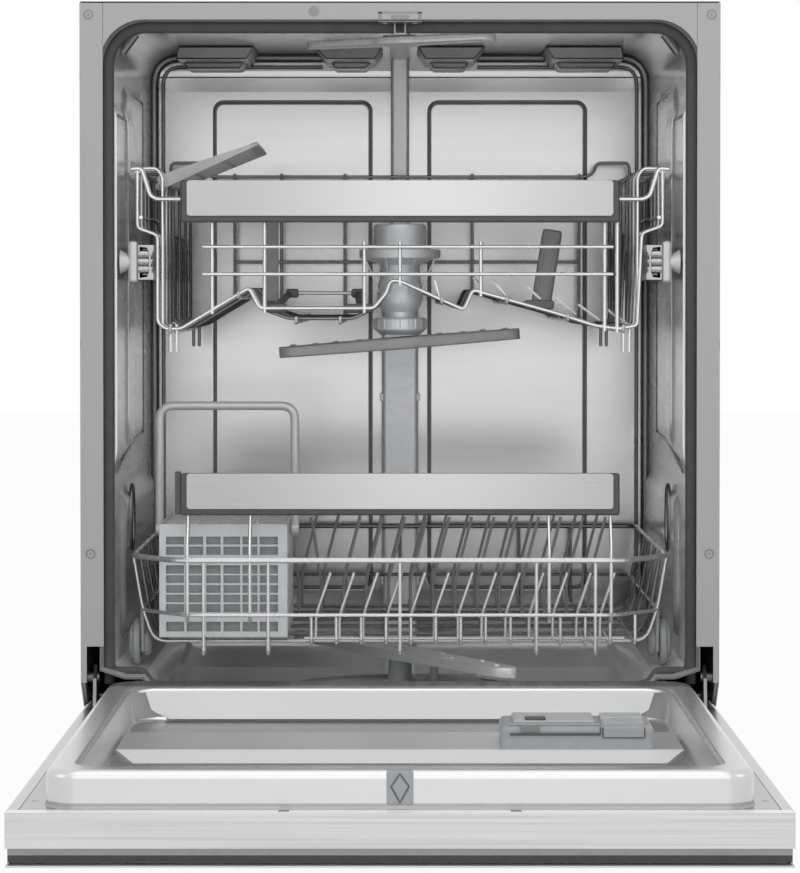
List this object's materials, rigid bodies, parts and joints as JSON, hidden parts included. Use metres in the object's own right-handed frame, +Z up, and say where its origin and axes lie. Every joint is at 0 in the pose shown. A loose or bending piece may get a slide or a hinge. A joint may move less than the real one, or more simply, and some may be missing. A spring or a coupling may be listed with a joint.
{
  "type": "built-under dishwasher",
  "caption": "Built-under dishwasher with a drop-down door, two sliding wire racks, spray arms, cutlery basket and levelling feet.",
  "frame": {"origin": "on the floor, under the middle of the box round the machine with its door open", "axes": "+X to the right seen from the front, +Y from the open door towards the machine's back, +Z up"},
  "size_m": [0.598, 1.16, 0.82],
  "materials": {
    "cabinet": "satin grey coated steel",
    "tub_steel": "bright pressed stainless steel",
    "door_steel": "brushed stainless steel, long grain",
    "hinge_steel": "dark coated pressed steel",
    "runner_chrome": "bright drawn profile",
    "coated_wire": "grey nylon-coated wire",
    "dark_plastic": "dark grey moulding",
    "grey_plastic": "mid grey moulding",
    "pale_plastic": "pale blue-grey moulding",
    "gasket": "dark grey extruded seal",
    "black_gloss": "smooth black"
  },
  "bodies": {
    "cabinet": {"left_side_panel": "cabinet", "right_side_panel": "cabinet", "front_frame": "cabinet", "top_cover": "cabinet", "rear_panel": "cabinet", "kick_panel": "dark_plastic", "base_tray": "dark_plastic", "tub": "tub_steel", "tub_gasket": "gasket", "sump_housing": "dark_plastic", "filter_plate": "tub_steel", "circulation_pump": "dark_plastic", "drain_pump": "dark_plastic", "feed_pipe": "grey_plastic", "latch_strike": "dark_plastic", "runner_rail_left": "dark_plastic", "runner_rail_right": "dark_plastic", "hinge_bracket_left": "hinge_steel", "hinge_bracket_right": "hinge_steel"},
    "door": {"door_outer_panel": "door_steel", "door_top_cap": "door_steel", "door_inner_liner": "tub_steel", "door_arm_left": "hinge_steel", "door_arm_right": "hinge_steel", "display_panel": "black_gloss", "latch_catch": "grey_plastic", "dispenser_body": "pale_plastic"},
    "dispenser_lid": {"dispenser_lid": "pale_plastic"},
    "rinse_aid_lid": {"rinse_aid_lid": "pale_plastic"},
    "power_button": {"power_button": "black_gloss"},
    "start_button": {"start_button": "black_gloss"},
    "upper_runners": {"runner_slide_left": "runner_chrome", "runner_slide_right": "runner_chrome", "height_adjuster_left": "dark_plastic", "height_adjuster_right": "dark_plastic"},
    "upper_rack": {"upper_rack_basket": "coated_wire", "upper_rack_handle": "dark_plastic", "upper_rack_facing": "door_steel", "spray_manifold": "grey_plastic"},
    "cup_shelf": {"cup_shelf": "pale_plastic"},
    "folding_flap": {"folding_flap": "dark_plastic"},
    "middle_spray_arm": {"middle_spray_arm": "grey_plastic"},
    "ceiling_spray_arm": {"ceiling_spray_arm": "grey_plastic"},
    "lower_spray_arm": {"lower_spray_arm": "grey_plastic"},
    "filter_cylinder": {"filter_cylinder": "grey_plastic"},
    "lower_rack": {"lower_rack_basket": "coated_wire", "lower_rack_handle": "dark_plastic", "lower_rack_facing": "door_steel", "cutlery_basket": "pale_plastic"},
    "tine_row_middle": {"tine_row_middle": "coated_wire"},
    "tine_row_rear": {"tine_row_rear": "coated_wire"},
    "cutlery_handle": {"cutlery_handle": "pale_plastic"},
    "front_wheel_left": {"front_wheel_left": "grey_plastic"},
    "front_wheel_right": {"front_wheel_right": "grey_plastic"},
    "rear_wheel_left": {"rear_wheel_left": "grey_plastic"},
    "rear_wheel_right": {"rear_wheel_right": "grey_plastic"},
    "foot_front_left": {"foot_front_left": "dark_plastic"},
    "foot_front_right": {"foot_front_right": "dark_plastic"},
    "foot_rear_left": {"foot_rear_left": "dark_plastic"},
    "foot_rear_right": {"foot_rear_right": "dark_plastic"}
  },
  "joints": [
    {"name": "door_hinge", "type": "hinge", "parent": "cabinet", "child": "door", "pos_m": [0, 0.0495, 0.185], "axis": [-1, 0, 0], "range_deg": [0, 90]},
    {"name": "dispenser_lid_hinge", "type": "hinge", "parent": "door", "child": "dispenser_lid", "pos_m": [0.095, -0.272, 0.1863], "axis": [0, -1, 0], "range_deg": [0, 95]},
    {"name": "rinse_aid_lid_hinge", "type": "hinge", "parent": "door", "child": "rinse_aid_lid", "pos_m": [0.17, -0.256, 0.1863], "axis": [0, -1, 0], "range_deg": [0, 95]},
    {"name": "power_button_press", "type": "slide", "parent": "door", "child": "power_button", "axis": [0, 0, 1], "range_m": [0, 0.001], "stiffness_N_per_m": 600},
    {"name": "start_button_press", "type": "slide", "parent": "door", "child": "start_button", "axis": [0, 0, 1], "range_m": [0, 0.001], "stiffness_N_per_m": 600},
    {"name": "upper_rack_slide", "type": "slide", "parent": "cabinet", "child": "upper_runners", "axis": [0, 1, 0], "range_m": [-0.4, 0]},
    {"name": "upper_rack_lift", "type": "slide", "parent": "upper_runners", "child": "upper_rack", "axis": [0, 0, 1], "range_m": [0, 0.04]},
    {"name": "cup_shelf_fold", "type": "hinge", "parent": "upper_rack", "child": "cup_shelf", "pos_m": [-0.2313, 0.1985, 0.65], "axis": [0, -1, 0], "range_deg": [-22, 60]},
    {"name": "folding_flap_fold", "type": "hinge", "parent": "upper_rack", "child": "folding_flap", "pos_m": [0.136, 0.142, 0.5322], "axis": [-1, 0, 0], "range_deg": [0, 75]},
    {"name": "middle_arm_spin", "type": "hinge", "parent": "upper_rack", "child": "middle_spray_arm", "pos_m": [0, 0.272, 0.496], "axis": [0, 0, 1], "continuous": true},
    {"name": "ceiling_arm_spin", "type": "hinge", "parent": "cabinet", "child": "ceiling_spray_arm", "pos_m": [0, 0.192, 0.795], "axis": [0, 0, 1], "continuous": true},
    {"name": "lower_arm_spin", "type": "hinge", "parent": "cabinet", "child": "lower_spray_arm", "pos_m": [0, 0.27, 0.184], "axis": [0, 0, 1], "continuous": true},
    {"name": "filter_twist", "type": "hinge", "parent": "cabinet", "child": "filter_cylinder", "pos_m": [0.046, 0.242, 0.15], "axis": [0, 0, 1], "range_deg": [0, 90]},
    {"name": "lower_rack_slide", "type": "slide", "parent": "cabinet", "child": "lower_rack", "axis": [0, 1, 0], "range_m": [-0.45, 0]},
    {"name": "middle_tines_fold", "type": "hinge", "parent": "lower_rack", "child": "tine_row_middle", "pos_m": [0, 0.295, 0.2189], "axis": [-1, 0, 0], "range_deg": [0, 80]},
    {"name": "rear_tines_fold", "type": "hinge", "parent": "lower_rack", "child": "tine_row_rear", "pos_m": [0, 0.41, 0.2189], "axis": [-1, 0, 0], "range_deg": [0, 80]},
    {"name": "cutlery_handle_fold", "type": "hinge", "parent": "lower_rack", "child": "cutlery_handle", "pos_m": [-0.16925, 0.17, 0.318], "axis": [-1, 0, 0], "range_deg": [0, 80]},
    {"name": "front_left_wheel_spin", "type": "hinge", "parent": "lower_rack", "child": "front_wheel_left", "pos_m": [-0.2545, 0.132, 0.21], "axis": [1, 0, 0], "range_deg": [0, 1175]},
    {"name": "front_right_wheel_spin", "type": "hinge", "parent": "lower_rack", "child": "front_wheel_right", "pos_m": [0.2545, 0.132, 0.21], "axis": [1, 0, 0], "range_deg": [0, 1175]},
    {"name": "rear_left_wheel_spin", "type": "hinge", "parent": "lower_rack", "child": "rear_wheel_left", "pos_m": [-0.2545, 0.45, 0.21], "axis": [1, 0, 0], "range_deg": [0, 1175]},
    {"name": "rear_right_wheel_spin", "type": "hinge", "parent": "lower_rack", "child": "rear_wheel_right", "pos_m": [0.2545, 0.45, 0.21], "axis": [1, 0, 0], "range_deg": [0, 1175]},
    {"name": "front_left_foot_screw", "type": "slide", "parent": "cabinet", "child": "foot_front_left", "axis": [0, 0, 1], "range_m": [-0.06, 0]},
    {"name": "front_right_foot_screw", "type": "slide", "parent": "cabinet", "child": "foot_front_right", "axis": [0, 0, 1], "range_m": [-0.06, 0]},
    {"name": "rear_left_foot_screw", "type": "slide", "parent": "cabinet", "child": "foot_rear_left", "axis": [0, 0, 1], "range_m": [-0.06, 0]},
    {"name": "rear_right_foot_screw", "type": "slide", "parent": "cabinet", "child": "foot_rear_right", "axis": [0, 0, 1], "range_m": [-0.06, 0]}
  ],
  "couplings": [
    {"joint": "front_left_wheel_spin", "follows": "lower_rack_slide", "rad_per_m": -45.455},
    {"joint": "front_right_wheel_spin", "follows": "lower_rack_slide", "rad_per_m": -45.455},
    {"joint": "rear_left_wheel_spin", "follows": "lower_rack_slide", "rad_per_m": -45.455},
    {"joint": "rear_right_wheel_spin", "follows": "lower_rack_slide", "rad_per_m": -45.455}
  ]
}
